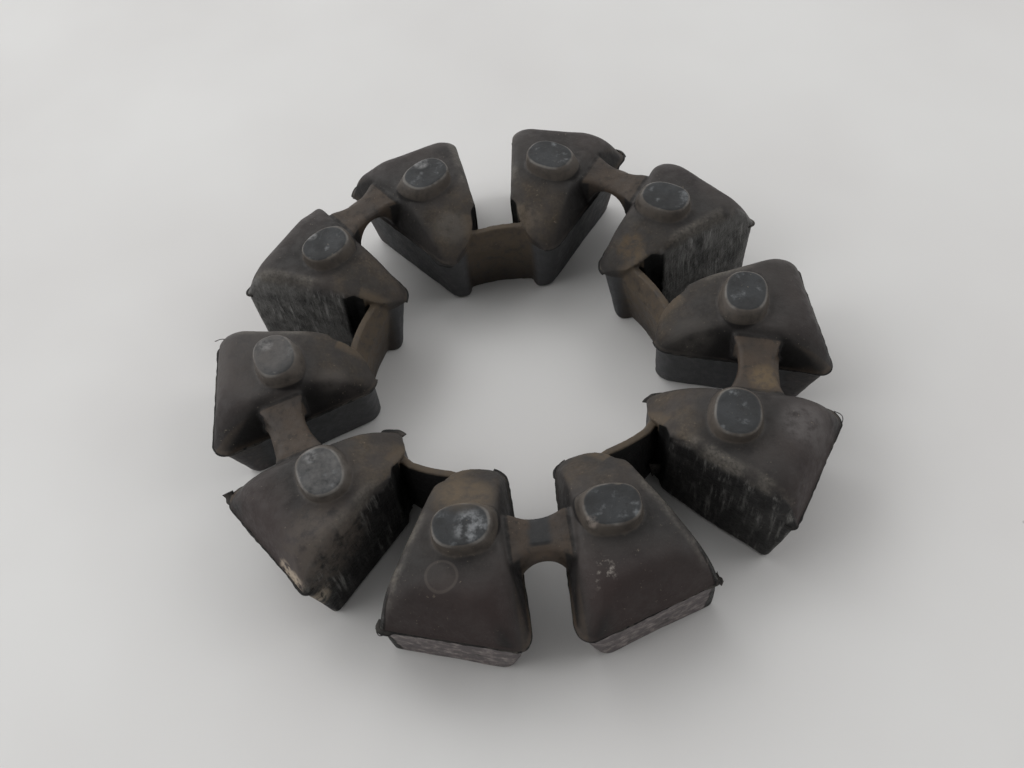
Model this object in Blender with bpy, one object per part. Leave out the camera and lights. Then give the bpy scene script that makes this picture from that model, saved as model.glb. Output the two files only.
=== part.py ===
# Cush drive damper: one moulded rubber ring of ten wedge lugs in five pairs.
# The ring lies on the plane z = 0 with its axis on Z, and one pair is centred on -Y.
# Sizes are in metres and angles in degrees.
import bpy
import bmesh
from math import asin, atan, copysign, cos, degrees, pi, radians, sin, tan
from mathutils import Matrix, Vector

# The ring
PAIR_COUNT = 5
FIRST_PAIR_ANGLE = -90.0

# Heights of a lug
PARTING_HEIGHT = 0.018
PLATEAU_HEIGHT = 0.028

# The strap-side flank of a lug, measured from the middle of its pair
STRAP_GAP_AT_NOSE = 0.012
STRAP_GAP_AT_RIM = 0.0092

# The outer face and the nose of a lug: distance from the ring's axis, and the way each faces
OUTER_FACE_REACH = 0.0748
OUTER_FACE_TURN = 17.8
NOSE_REACH = 0.0342
NOSE_TURN = 17.0

# The inner webs, as a section set back from the noses
WEB_SETBACK_FOOT = 0.005
WEB_SETBACK_LIP = 0.0024
WEB_SETBACK_TOP = 0.0044
WEB_THICKNESS_FOOT = 0.0018
WEB_THICKNESS_TOP = 0.0016
WEB_FOOT_HEIGHT = 0.0006
WEB_LIP_DROP = 0.002
WEB_RISE = 0.0035
WEB_ROOT = 0.0016
WEB_STEPS = 10

# The vane pocket between two pairs, which is narrowest at a crease behind the web
POCKET_CREASE_SETBACK = 0.0053
POCKET_WIDTH_AT_CREASE = 0.0106
POCKET_FLARE = 7.4
POCKET_CREST_FLARE = 11.5

# How far each side of a lug leans in, from the parting line up to the plateau
STRAP_SIDE_LEAN = 0.005
OUTER_FACE_LEAN = 0.0062
NOSE_LEAN = 0.015
POCKET_SIDE_LEAN = 0.0016
# How full the lean is: 1 is a flat slope, and more is a rounder shoulder
STRAP_SIDE_FULLNESS = 2.2
OUTER_FACE_FULLNESS = 2.2
NOSE_FULLNESS = 1.4
POCKET_SIDE_FULLNESS = 4.0

# How far each side of a lug leans in, from the parting line down to the foot
STRAP_SIDE_DRAFT = 0.0035
OUTER_FACE_DRAFT = 0.003
NOSE_DRAFT = 0.003
PARTING_STEP = 0.0005
PARTING_STEP_RISE = 0.0003
FOOT_EDGE = 0.0005

# Corner radii of a lug in plan: at the foot, at the parting line and at the plateau
NOSE_STRAP_CORNER = (0.0035, 0.0045, 0.0055)
OUTER_STRAP_CORNER = (0.004, 0.005, 0.007)
OUTER_POCKET_CORNER = (0.001, 0.001, 0.005)
NOSE_POCKET_CORNER = (0.0025, 0.003, 0.0045)
# The share of a side that its two corners' roundings may take up
CORNER_ROOM = 0.95
CORNER_STEPS = 4
# Where the sections above the parting line lie, as shares of the way up to the plateau
UPPER_LEVELS = (0.0, 0.3, 0.55, 0.75, 0.9, 1.0)

# The space between two lugs' noses in front of a web, and the pocket's relief behind the web
NOSE_SPACING = 0.0172
RELIEF_WIDTH = 0.0138
RELIEF_SETBACK = 0.0003
RELIEF_TAPER = 0.0025
CUT_OVERLAP = 0.0005

# The arched straps, each over a pair's gap and set back from the outer faces' reach
STRAP_DROP = 0.001
STRAP_THICKNESS = 0.0038
STRAP_SETBACK = 0.0211
STRAP_WIDTH = 0.0088
STRAP_INNER_FLARE = 0.0037
STRAP_OUTER_FLARE = 0.0025
STRAP_FLARE_RUN = 0.0033
STRAP_ROOT = 0.0068
STRAP_EDGE = 0.0009
STRAP_ARCH_SETBACK = 0.0005
STRAP_ARCH_STEPS = 12
STRAP_LEG_DEPTH = 0.002

# The oval bosses, long way across the pair and set back from the outer faces' reach
BOSS_SETBACK = 0.0214
BOSS_OFFSET = 0.0168
BOSS_RISE = 0.0035
BOSS_LENGTH = 0.0123
BOSS_WIDTH = 0.0097
BOSS_SQUARENESS = 2.4
BOSS_EDGE = 0.0004
BOSS_COLLAR = 0.0015
BOSS_ROOT = 0.001
BOSS_STEPS = 16
COLLAR_STEPS = 3

# Edges that turn by more than this stay sharp when shaded
SHARP_ANGLE = 35.0

# Radii worked out from the sizes above
WEB_INNER_RADIUS_FOOT = NOSE_REACH + WEB_SETBACK_FOOT
WEB_INNER_RADIUS_TOP = NOSE_REACH + WEB_SETBACK_TOP
WEB_OUTER_RADIUS_TOP = WEB_INNER_RADIUS_TOP + WEB_THICKNESS_TOP
POCKET_CREASE_RADIUS = WEB_OUTER_RADIUS_TOP + POCKET_CREASE_SETBACK
STRAP_INNER_RADIUS = OUTER_FACE_REACH - STRAP_SETBACK
BOSS_RADIUS = OUTER_FACE_REACH - BOSS_SETBACK


def clear_scene():
    for item in list(bpy.data.objects):
        bpy.data.objects.remove(item, do_unlink=True)


def line(angle, distance):
    """A line in plan: the way it faces, in degrees, and its distance from the ring's axis."""
    turn = radians(angle)
    return (cos(turn), sin(turn), distance)


def line_through(point, angle):
    turn = radians(angle)
    return (cos(turn), sin(turn), point[0] * cos(turn) + point[1] * sin(turn))


def moved_in(side, inset):
    return (side[0], side[1], side[2] - inset)


def crossing(a, b):
    det = a[0] * b[1] - a[1] * b[0]
    return Vector(((a[2] * b[1] - a[1] * b[2]) / det, (a[0] * b[2] - a[2] * b[0]) / det))


def lean(length, share, fullness):
    """How far a rounded side has leaned in at a share of its height."""
    return length * (1.0 - (1.0 - share ** fullness) ** (1.0 / fullness))


def mix(a, b, share):
    return a + (b - a) * share


def rounded_corner(before, corner, after, tangent):
    """Points of the arc that rounds a corner and meets its two sides at a distance from it."""
    to_before = (before - corner).normalized()
    to_after = (after - corner).normalized()
    half = to_before.angle(to_after) / 2.0
    centre = corner + (to_before + to_after).normalized() * (tangent / cos(half))
    start = corner + to_before * tangent - centre
    end = corner + to_after * tangent - centre
    sweep = start.angle(end)
    points = []
    for step in range(CORNER_STEPS + 1):
        share = step / CORNER_STEPS
        along = (start * sin((1.0 - share) * sweep) + end * sin(share * sweep)) / sin(sweep)
        points.append(centre + along)
    return points


def rounded_outline(corners, radii):
    """Rounds an outline's corners, each by its radius or as far as its two sides have room for."""
    befores = corners[-1:] + corners[:-1]
    afters = corners[1:] + corners[:1]
    tangents = [radius / tan((before - corner).angle(after - corner) / 2.0)
                for before, corner, after, radius in zip(befores, corners, afters, radii)]
    rooms = [CORNER_ROOM * (after - corner).length / (tangents[index] + tangents[index + 1 - len(corners)])
             for index, (corner, after) in enumerate(zip(corners, afters))]
    points = []
    for index, tangent in enumerate(tangents):
        share = min(1.0, rooms[index - 1], rooms[index])
        points += rounded_corner(befores[index], corners[index], afters[index], tangent * share)
    return points


def gap_taper():
    """How much a pair's half gap narrows along each unit of radius."""
    return (STRAP_GAP_AT_NOSE - STRAP_GAP_AT_RIM) / 2.0 / (OUTER_FACE_REACH - NOSE_REACH)


def half_gap(radius):
    return STRAP_GAP_AT_NOSE / 2.0 - gap_taper() * (radius - NOSE_REACH)


def lug_outline(insets, pocket_flare, radii):
    """A lug's outline at one height, in its pair's frame: x outward, y towards the pocket.

    The insets and radii go round from the strap side: strap side, outer face, pocket side, nose.
    """
    web_angle = 180.0 / PAIR_COUNT
    crease = Matrix.Rotation(radians(web_angle), 2) @ Vector(
        (POCKET_CREASE_RADIUS, -POCKET_WIDTH_AT_CREASE / 2.0))
    sides = [
        line_through((NOSE_REACH, half_gap(NOSE_REACH)), -90.0 - degrees(atan(gap_taper()))),
        line(OUTER_FACE_TURN, OUTER_FACE_REACH),
        line_through(crease, web_angle + 90.0 - pocket_flare),
        line(NOSE_TURN + 180.0, -NOSE_REACH),
    ]
    sides = [moved_in(side, inset) for side, inset in zip(sides, insets)]
    corners = [crossing(sides[index - 1], side) for index, side in enumerate(sides)]
    return rounded_outline(corners, radii)


def corner_radii(low, high, share):
    corners = (NOSE_STRAP_CORNER, OUTER_STRAP_CORNER, OUTER_POCKET_CORNER, NOSE_POCKET_CORNER)
    return [mix(corner[low], corner[high], share) for corner in corners]


def lug_levels():
    """The lug's horizontal sections from the foot up, as (height, outline)."""
    drafts = (STRAP_SIDE_DRAFT, OUTER_FACE_DRAFT, 0.0, NOSE_DRAFT)
    underside = [draft + FOOT_EDGE for draft in drafts]
    levels = [
        (0.0, lug_outline(underside, POCKET_FLARE, corner_radii(0, 1, 0.0))),
        (FOOT_EDGE, lug_outline(drafts, POCKET_FLARE, corner_radii(0, 1, 0.0))),
        (PARTING_HEIGHT, lug_outline((0.0, 0.0, 0.0, 0.0), POCKET_FLARE, corner_radii(0, 1, 1.0))),
    ]
    for share in UPPER_LEVELS:
        height = mix(PARTING_HEIGHT + PARTING_STEP_RISE, PLATEAU_HEIGHT, share)
        insets = (
            PARTING_STEP + lean(STRAP_SIDE_LEAN, share, STRAP_SIDE_FULLNESS),
            PARTING_STEP + lean(OUTER_FACE_LEAN, share, OUTER_FACE_FULLNESS),
            lean(POCKET_SIDE_LEAN, share, POCKET_SIDE_FULLNESS),
            PARTING_STEP + lean(NOSE_LEAN, share, NOSE_FULLNESS),
        )
        flare = POCKET_FLARE + lean(POCKET_CREST_FLARE - POCKET_FLARE, share, POCKET_SIDE_FULLNESS)
        levels.append((height, lug_outline(insets, flare, corner_radii(1, 2, share))))
    return levels


def loft(mesh, rings):
    """Adds one closed body through rings of points, with flat caps on its two ends."""
    rows = [[mesh.verts.new(point) for point in ring] for ring in rings]
    count = len(rows[0])
    for lower, upper in zip(rows, rows[1:]):
        for index in range(count):
            after = (index + 1) % count
            mesh.faces.new((lower[index], lower[after], upper[after], upper[index]))
    mesh.faces.new(list(reversed(rows[0])))
    mesh.faces.new(rows[-1])


def place(points, angle, mirrored=False):
    """Turns points from a pair's frame about Z, and mirrors them to the pair's other lug."""
    turn = Matrix.Rotation(radians(angle), 3, "Z")
    side = -1.0 if mirrored else 1.0
    placed = [turn @ Vector((x, side * y, z)) for x, y, z in points]
    return list(reversed(placed)) if mirrored else placed


def pair_angles():
    return [FIRST_PAIR_ANGLE + 360.0 / PAIR_COUNT * index for index in range(PAIR_COUNT)]


def finished(name, mesh):
    bmesh.ops.recalc_face_normals(mesh, faces=mesh.faces)
    data = bpy.data.meshes.new(name)
    mesh.to_mesh(data)
    mesh.free()
    item = bpy.data.objects.new(name, data)
    bpy.context.scene.collection.objects.link(item)
    return item


def tool(item):
    """Marks a body that only adds to or cuts the ring."""
    item.hide_render = True
    item.display_type = "WIRE"
    return item


def build_lugs():
    mesh = bmesh.new()
    levels = lug_levels()
    for angle in pair_angles():
        for mirrored in (False, True):
            loft(mesh, [place([(p.x, p.y, height) for p in outline], angle, mirrored)
                        for height, outline in levels])
    return finished("damper_ring", mesh)


def build_bosses():
    """Low oval bosses, one on each lug, each filleted into the lug's top all round."""
    def oval(grown):
        points = []
        for step in range(BOSS_STEPS):
            turn = 2.0 * pi * step / BOSS_STEPS
            x = copysign(abs(cos(turn)) ** (2.0 / BOSS_SQUARENESS), cos(turn))
            y = copysign(abs(sin(turn)) ** (2.0 / BOSS_SQUARENESS), sin(turn))
            points.append((BOSS_RADIUS + x * (BOSS_WIDTH / 2.0 + grown),
                           BOSS_OFFSET + y * (BOSS_LENGTH / 2.0 + grown)))
        return points

    top = PLATEAU_HEIGHT + BOSS_RISE
    levels = [(PLATEAU_HEIGHT - BOSS_ROOT, BOSS_COLLAR)]
    for step in range(1, COLLAR_STEPS + 1):
        turn = pi / 2.0 * step / COLLAR_STEPS
        levels.append((PLATEAU_HEIGHT + BOSS_COLLAR * (1.0 - cos(turn)), BOSS_COLLAR * (1.0 - sin(turn))))
    levels += [(top - BOSS_EDGE, 0.0), (top, -BOSS_EDGE)]
    mesh = bmesh.new()
    for angle in pair_angles():
        for mirrored in (False, True):
            loft(mesh, [place([(x, y, height) for x, y in oval(grown)], angle, mirrored)
                        for height, grown in levels])
    return tool(finished("bosses", mesh))


def build_straps():
    """Arched straps, lofted across each pair's gap from one lug into the other."""
    half = half_gap(STRAP_INNER_RADIUS + STRAP_WIDTH / 2.0)
    arch = half + STRAP_ARCH_SETBACK
    flare_reach = half + STRAP_FLARE_RUN
    top = PLATEAU_HEIGHT - STRAP_DROP
    spring = top - STRAP_THICKNESS - arch
    leg_foot = spring - STRAP_LEG_DEPTH
    stations = [(-half - STRAP_ROOT, leg_foot), (-arch - STRAP_EDGE, leg_foot)]
    for step in range(STRAP_ARCH_STEPS + 1):
        turn = pi * (1.0 - step / STRAP_ARCH_STEPS)
        stations.append((arch * cos(turn), spring + arch * sin(turn)))
    stations += [(-y, z) for y, z in reversed(stations[:2])]
    mesh = bmesh.new()
    for angle in pair_angles():
        rings = []
        for y, low in stations:
            flare = (min(abs(y), flare_reach) / flare_reach) ** 2
            inner = STRAP_INNER_RADIUS - STRAP_INNER_FLARE * flare
            outer = STRAP_INNER_RADIUS + STRAP_WIDTH + STRAP_OUTER_FLARE * flare
            edge = STRAP_EDGE
            rings.append([(inner, y, low + edge), (inner, y, top - edge), (inner + edge, y, top),
                          (outer - edge, y, top), (outer, y, top - edge), (outer, y, low + edge),
                          (outer - edge, y, low), (inner + edge, y, low)])
        loft(mesh, [place(ring, angle) for ring in rings])
    return tool(finished("straps", mesh))


def build_webs():
    """Thin inner webs, each an arc about the ring's axis between two pairs."""
    section = [
        (WEB_INNER_RADIUS_FOOT, WEB_FOOT_HEIGHT),
        (WEB_INNER_RADIUS_FOOT + WEB_THICKNESS_FOOT, WEB_FOOT_HEIGHT),
        (WEB_OUTER_RADIUS_TOP, PARTING_HEIGHT + WEB_RISE),
        (WEB_INNER_RADIUS_TOP, PARTING_HEIGHT + WEB_RISE),
        (NOSE_REACH + WEB_SETBACK_LIP, PARTING_HEIGHT - WEB_LIP_DROP),
    ]
    half_angle = degrees(asin((NOSE_SPACING / 2.0 + WEB_ROOT) / WEB_INNER_RADIUS_FOOT))
    mesh = bmesh.new()
    for angle in pair_angles():
        middle = angle + 180.0 / PAIR_COUNT
        rings = []
        for step in range(WEB_STEPS + 1):
            turn = mix(-half_angle, half_angle, step / WEB_STEPS)
            rings.append(place([(r, 0.0, z) for r, z in section], middle + turn))
        loft(mesh, rings)
    return tool(finished("webs", mesh))


def build_reliefs():
    """Cutters that space the noses apart and widen each vane pocket beside its inner web."""
    half = RELIEF_WIDTH / 2.0
    slope = (half - POCKET_WIDTH_AT_CREASE / 2.0) / RELIEF_TAPER
    side = [
        (NOSE_REACH - NOSE_DRAFT, NOSE_SPACING / 2.0),
        (WEB_OUTER_RADIUS_TOP, NOSE_SPACING / 2.0),
        (WEB_OUTER_RADIUS_TOP + RELIEF_SETBACK, half),
        (POCKET_CREASE_RADIUS - RELIEF_TAPER, half),
        (POCKET_CREASE_RADIUS + CUT_OVERLAP, half - slope * (RELIEF_TAPER + CUT_OVERLAP)),
    ]
    outline = side + [(x, -y) for x, y in reversed(side)]
    heights = (-CUT_OVERLAP, PLATEAU_HEIGHT + CUT_OVERLAP)
    mesh = bmesh.new()
    for angle in pair_angles():
        middle = angle + 180.0 / PAIR_COUNT
        loft(mesh, [place([(x, y, z) for x, y in outline], middle) for z in heights])
    return tool(finished("reliefs", mesh))


def boolean(item, other, operation):
    modifier = item.modifiers.new(other.name, "BOOLEAN")
    modifier.operation = operation
    modifier.solver = "EXACT"
    modifier.object = other


def rubber():
    material = bpy.data.materials.new("moulded_rubber")
    material.use_nodes = True
    shader = material.node_tree.nodes["Principled BSDF"]
    shader.inputs["Base Color"].default_value = (0.042, 0.036, 0.033, 1.0)
    shader.inputs["Roughness"].default_value = 0.7
    shader.inputs["Metallic"].default_value = 0.0
    return material


def build():
    clear_scene()
    ring = build_lugs()
    boolean(ring, build_reliefs(), "DIFFERENCE")
    boolean(ring, build_webs(), "UNION")
    boolean(ring, build_straps(), "UNION")
    boolean(ring, build_bosses(), "UNION")
    ring.data.materials.append(rubber())
    ring.data.shade_smooth()
    ring.data.set_sharp_from_angle(angle=radians(SHARP_ANGLE))


build()
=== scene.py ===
from math import asin, atan, copysign, cos, degrees, pi, radians, sin, tan

import bmesh
import bpy
import numpy as np
from mathutils import Matrix, Vector


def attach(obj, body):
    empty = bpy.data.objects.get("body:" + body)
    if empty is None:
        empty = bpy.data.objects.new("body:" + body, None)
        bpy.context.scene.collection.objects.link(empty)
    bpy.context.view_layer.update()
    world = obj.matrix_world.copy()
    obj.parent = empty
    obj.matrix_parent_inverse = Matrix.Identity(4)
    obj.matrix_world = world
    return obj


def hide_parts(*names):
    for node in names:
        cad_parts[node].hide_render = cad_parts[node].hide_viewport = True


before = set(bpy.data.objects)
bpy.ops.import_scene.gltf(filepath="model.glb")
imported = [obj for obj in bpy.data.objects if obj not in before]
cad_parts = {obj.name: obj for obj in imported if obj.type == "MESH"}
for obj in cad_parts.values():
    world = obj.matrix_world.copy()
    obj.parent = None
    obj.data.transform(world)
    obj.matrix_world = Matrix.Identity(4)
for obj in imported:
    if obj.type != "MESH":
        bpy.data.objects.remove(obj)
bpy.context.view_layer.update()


# The camera
# It looks down at the ring from in front of the bench, and is turned and rolled a little.
MM = 0.001
CAMERA_AZIMUTH = -0.645
CAMERA_ELEVATION = 55.39
CAMERA_ROLL = -7.29
CAMERA_DISTANCE = 264.96 * MM
CAMERA_TARGET = Vector((-1.46, 3.44, 0.0)) * MM
FOCAL_LENGTH = 35.16
SENSOR_WIDTH = 36.0
NEAREST_SEEN = 10 * MM

turn, tilt, roll = radians(CAMERA_AZIMUTH), radians(CAMERA_ELEVATION), radians(CAMERA_ROLL)
backward = Vector((sin(turn) * cos(tilt), -cos(turn) * cos(tilt), sin(tilt)))
level = Vector((cos(turn), sin(turn), 0.0))
upward = backward.cross(level)
across = cos(roll) * level + sin(roll) * upward
above = cos(roll) * upward - sin(roll) * level
camera = bpy.data.objects.new("camera", bpy.data.cameras.new("camera"))
camera.data.lens = FOCAL_LENGTH
camera.data.sensor_width = SENSOR_WIDTH
camera.data.clip_start = NEAREST_SEEN
camera.matrix_world = Matrix.Translation(CAMERA_TARGET + backward * CAMERA_DISTANCE) @ Matrix(
    (across, above, backward)).transposed().to_4x4()
bpy.context.scene.collection.objects.link(camera)
bpy.context.scene.camera = camera
bpy.context.scene.view_settings.view_transform = "Standard"


# The bench top
# A pale grey laminate sheet. It is smooth and matt, with a little grime, a few specks and fine marks.
LAMINATE_TONES = ("#d2d2d1", "#cccbca")
SPECK_TONE = "#4d4a47"
BENCH_HALF = 1500 * MM
BENCH_DROP = 0.1 * MM


def hex_colour(code):
    """An sRGB hex colour as linear red, green, blue and alpha."""
    parts = [int(code[i:i + 2], 16) / 255.0 for i in (1, 3, 5)]
    return tuple(p / 12.92 if p <= 0.04045 else ((p + 0.055) / 1.055) ** 2.4 for p in parts) + (1.0,)


def add(tree, kind, inputs=None, **settings):
    """Adds a node, sets its properties, and fills or links its inputs by name or number."""
    node = tree.nodes.new(kind)
    for name, value in settings.items():
        setattr(node, name, value)
    for key, value in (inputs or {}).items():
        if isinstance(value, bpy.types.NodeSocket):
            tree.links.new(value, node.inputs[key])
        else:
            node.inputs[key].default_value = value
    return node


def new_material(name):
    material = bpy.data.materials.new(name)
    material.use_nodes = True
    return material, material.node_tree, material.node_tree.nodes["Principled BSDF"]


def per(size_mm):
    """The scale of a pattern whose features are a size in millimetres."""
    return 1.0 / (size_mm * MM)


def linked(name, data):
    """A new object in the scene, which holds a mesh or a lamp."""
    item = bpy.data.objects.new(name, data)
    bpy.context.scene.collection.objects.link(item)
    return item


laminate, tree, shader = new_material("pale_laminate_sheet")
place = add(tree, "ShaderNodeTexCoord").outputs["Object"]
clouds = add(tree, "ShaderNodeTexNoise", {"Vector": place, "Scale": per(90), "Detail": 3.0}).outputs["Fac"]
grime = add(tree, "ShaderNodeMapRange", {"Value": clouds, "From Min": 0.35,
                                         "From Max": 0.7}).outputs["Result"]
tone = add(tree, "ShaderNodeMix", {"Factor": grime, "A": hex_colour(LAMINATE_TONES[0]),
                                   "B": hex_colour(LAMINATE_TONES[1])}, data_type="RGBA").outputs["Result"]
specks = add(tree, "ShaderNodeTexVoronoi", {"Vector": place, "Scale": per(26)}).outputs["Distance"]
specks = add(tree, "ShaderNodeMapRange", {"Value": specks, "From Min": 0.014, "From Max": 0.02,
                                          "To Min": 1.0, "To Max": 0.0}).outputs["Result"]
sparse = add(tree, "ShaderNodeTexNoise", {"Vector": place, "Scale": per(40), "Detail": 1.0}).outputs["Fac"]
sparse = add(tree, "ShaderNodeMapRange", {"Value": sparse, "From Min": 0.5, "From Max": 0.6,
                                          "To Max": 0.8}).outputs["Result"]
specks = add(tree, "ShaderNodeMath", {0: specks, 1: sparse}, operation="MULTIPLY").outputs[0]
tone = add(tree, "ShaderNodeMix", {"Factor": specks, "A": tone, "B": hex_colour(SPECK_TONE)},
           data_type="RGBA").outputs["Result"]
tree.links.new(tone, shader.inputs["Base Color"])
sheen = add(tree, "ShaderNodeMapRange", {"Value": clouds, "From Min": 0.3, "From Max": 0.7,
                                         "To Min": 0.48, "To Max": 0.62}).outputs["Result"]
tree.links.new(sheen, shader.inputs["Roughness"])
orange_peel = add(tree, "ShaderNodeTexNoise", {"Vector": place, "Scale": per(1.2)}).outputs["Fac"]
bump = add(tree, "ShaderNodeBump", {"Height": orange_peel, "Distance": 0.01 * MM})
tree.links.new(bump.outputs["Normal"], shader.inputs["Normal"])

sheet = bmesh.new()
bmesh.ops.create_grid(sheet, x_segments=1, y_segments=1, size=BENCH_HALF)
bmesh.ops.translate(sheet, verts=sheet.verts, vec=(0.0, 0.0, -BENCH_DROP))
bench = linked("bench_top", bpy.data.meshes.new("bench_top"))
sheet.to_mesh(bench.data)
sheet.free()
bench.data.materials.append(laminate)


# The workshop light
# A pale room with its windows behind the ring and to the left, and two weak ceiling panels. The sky above
# the ring and in front of it is shaded.
SKY_TONE = "#f2f1f0"
# Each panel: its place and its size in metres, and its power in watts
PANELS = {"window_back_left": ((-0.62, 0.85, 1.1), 0.6, 2.0),
          "ceiling_panel_left": ((-1.1, -0.1, 0.95), 0.8, 3.9),
          "ceiling_panel_right": ((1.1, 0.05, 0.95), 0.8, 3.9)}
# Daylight and shade: the way to each one's middle, the cosines between which it comes in, and the sky's
# strength outside it and in its middle
SKY_LOBES = (((-0.6, 0.5, 0.62), 0.2, 0.95, 1.0, 1.9), ((0.0, -0.42, 0.91), 0.5, 0.82, 1.0, 0.12))

for name, (place, size, power) in PANELS.items():
    lamp = bpy.data.lights.new(name, "AREA")
    lamp.shape = "SQUARE"
    lamp.size = size
    lamp.energy = power
    item = linked(name, lamp)
    item.location = place
    item.rotation_euler = (-Vector(place)).to_track_quat("-Z", "Y").to_euler()

world = bpy.data.worlds.new("workshop")
world.use_nodes = True
bpy.context.scene.world = world
tree = world.node_tree
direction = add(tree, "ShaderNodeTexCoord").outputs["Generated"]
strengths = []
for middle, low, high, outside, inside in SKY_LOBES:
    nearness = add(tree, "ShaderNodeVectorMath", {0: direction, 1: middle}, operation="DOT_PRODUCT")
    strengths.append(add(tree, "ShaderNodeMapRange", {"Value": nearness.outputs["Value"], "From Min": low,
                                                      "From Max": high, "To Min": outside, "To Max": inside}))
strength = add(tree, "ShaderNodeMath", {0: strengths[0].outputs["Result"], 1: strengths[1].outputs["Result"]},
               operation="MULTIPLY").outputs[0]
tree.links.new(strength, tree.nodes["Background"].inputs["Strength"])
tree.nodes["Background"].inputs["Color"].default_value = hex_colour(SKY_TONE)


# The damper ring
# One moulding of vulcanised black rubber, pressed in a two-part steel mould. Ten wedge lugs stand in
# pairs, each pair under an arched strap, and thin inner webs join the pairs beside the vane pockets.
PAIR_COUNT = 5
PAIR_STEP = 360.0 / PAIR_COUNT
WEB_ANGLE = PAIR_STEP / 2.0
FIRST_PAIR_ANGLE = -90.0
PARTING_HEIGHT = 18.0 * MM
PLATEAU_HEIGHT = 28.0 * MM

HALF_GAP_AT_NOSE = 6.0 * MM
HALF_GAP_AT_RIM = 4.6 * MM
OUTER_FACE_REACH = 74.8 * MM
OUTER_FACE_TURN = 17.8
NOSE_REACH = 34.2 * MM
NOSE_TURN = 17.0
CREASE_RADIUS = 45.5 * MM
CREASE_HALF_WIDTH = 5.3 * MM
POCKET_FLARE = 7.4
POCKET_FOOT_FLARE = 4.9
POCKET_CREST_FLARE = 11.5

# Each list goes round a lug: strap side, outer face, pocket side, nose
SLOPES = (2.2 * MM, 3.0 * MM, 0.0, 0.0)
LEANS = (2.8 * MM, 4.4 * MM, 2.4 * MM, 15.0 * MM)
FULLNESSES = (3.0, 3.0, 3.2, 1.4)
DRAFTS = (3.5 * MM, 3.0 * MM, 0.0, 2.0 * MM)
PARTING_STEPS = (0.35 * MM, 0.35 * MM, 0.0, 0.35 * MM)
LIP_STEPS = (0.5 * MM, 0.35 * MM, 0.0, 1.2 * MM)
LIP_DEPTH = 0.5 * MM
LEDGE_RISE = 0.2 * MM
# The foot's rounded edge: height and inset, as shares of its size
FOOT_EDGE = 1.3 * MM
FOOT_ROUNDING = ((0.0, 0.8), (0.1, 0.5), (0.3, 0.22), (0.6, 0.06), (1.0, 0.0))
# Corner radii at the foot, the parting line and the plateau. Each list goes round a lug: nose and strap,
# outer face and strap, outer face and pocket, nose and pocket
FOOT_CORNERS = (4.6 * MM, 3.0 * MM, 1.2 * MM, 3.4 * MM)
PARTING_CORNERS = (4.5 * MM, 3.4 * MM, 1.0 * MM, 3.0 * MM)
PLATEAU_CORNERS = (5.5 * MM, 6.0 * MM, 5.0 * MM, 4.5 * MM)
CORNER_STEPS = 12
LUG_LEVELS = 18


def facing(angle, distance):
    """A side in plan: the way it faces, and its distance from the ring's axis."""
    return (cos(radians(angle)), sin(radians(angle)), distance)


def facing_through(point, angle):
    """A side in plan that passes through a point."""
    x, y = cos(radians(angle)), sin(radians(angle))
    return (x, y, point[0] * x + point[1] * y)


def crossing(a, b):
    """The point where two sides meet."""
    det = a[0] * b[1] - a[1] * b[0]
    return Vector(((a[2] * b[1] - a[1] * b[2]) / det, (a[0] * b[2] - a[2] * b[0]) / det))


def rounded(before, corner, after, radius):
    """The arc that rounds a corner between its two neighbours."""
    to_before = (before - corner).normalized()
    to_after = (after - corner).normalized()
    half = to_before.angle(to_after) / 2.0
    centre = corner + (to_before + to_after).normalized() * (radius / sin(half))
    start = corner + to_before * (radius / tan(half)) - centre
    end = corner + to_after * (radius / tan(half)) - centre
    sweep = start.angle(end)
    shares = [step / CORNER_STEPS for step in range(CORNER_STEPS + 1)]
    return [centre + (start * sin((1 - s) * sweep) + end * sin(s * sweep)) / sin(sweep) for s in shares]


def lug_outline(insets, flare, radii):
    """A lug's outline at one height in its pair's frame: x outward, y towards the pocket."""
    gap_angle = degrees(atan((HALF_GAP_AT_NOSE - HALF_GAP_AT_RIM) / (OUTER_FACE_REACH - NOSE_REACH)))
    crease = Matrix.Rotation(radians(WEB_ANGLE), 2) @ Vector((CREASE_RADIUS, -CREASE_HALF_WIDTH))
    sides = [facing_through((NOSE_REACH, HALF_GAP_AT_NOSE), -90.0 - gap_angle),
             facing(OUTER_FACE_TURN, OUTER_FACE_REACH),
             facing_through(crease, WEB_ANGLE + 90.0 - flare),
             facing(NOSE_TURN + 180.0, -NOSE_REACH)]
    sides = [(x, y, distance - inset) for (x, y, distance), inset in zip(sides, insets)]
    corners = [crossing(sides[index - 1], side) for index, side in enumerate(sides)]
    points = []
    for index, corner in enumerate(corners):
        points += rounded(corners[index - 1], corner, corners[(index + 1) % 4], radii[index])
    return points


def lean(length, share, fullness):
    """How far a rounded side has leaned in at a share of its height."""
    return length * (1.0 - (1.0 - share ** fullness) ** (1.0 / fullness))


def loft(mesh, rings):
    """Adds one closed body through rings of points."""
    rows = [[mesh.verts.new(point) for point in ring] for ring in rings]
    for lower, upper in zip(rows, rows[1:]):
        for index in range(len(lower)):
            after = (index + 1) % len(lower)
            mesh.faces.new((lower[index], lower[after], upper[after], upper[index]))
    mesh.faces.new(list(reversed(rows[0])))
    mesh.faces.new(rows[-1])


def both_lugs(mesh, rings):
    """Adds a body on the pair's one lug, and its mirror image on the other."""
    loft(mesh, rings)
    loft(mesh, [[(x, -y, z) for x, y, z in reversed(ring)] for ring in rings])


def form(name, mesh):
    """An object of the bodies lofted so far, with their faces turned outwards."""
    bmesh.ops.recalc_face_normals(mesh, faces=mesh.faces)
    item = linked(name, bpy.data.meshes.new(name))
    mesh.to_mesh(item.data)
    mesh.free()
    return item


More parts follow.
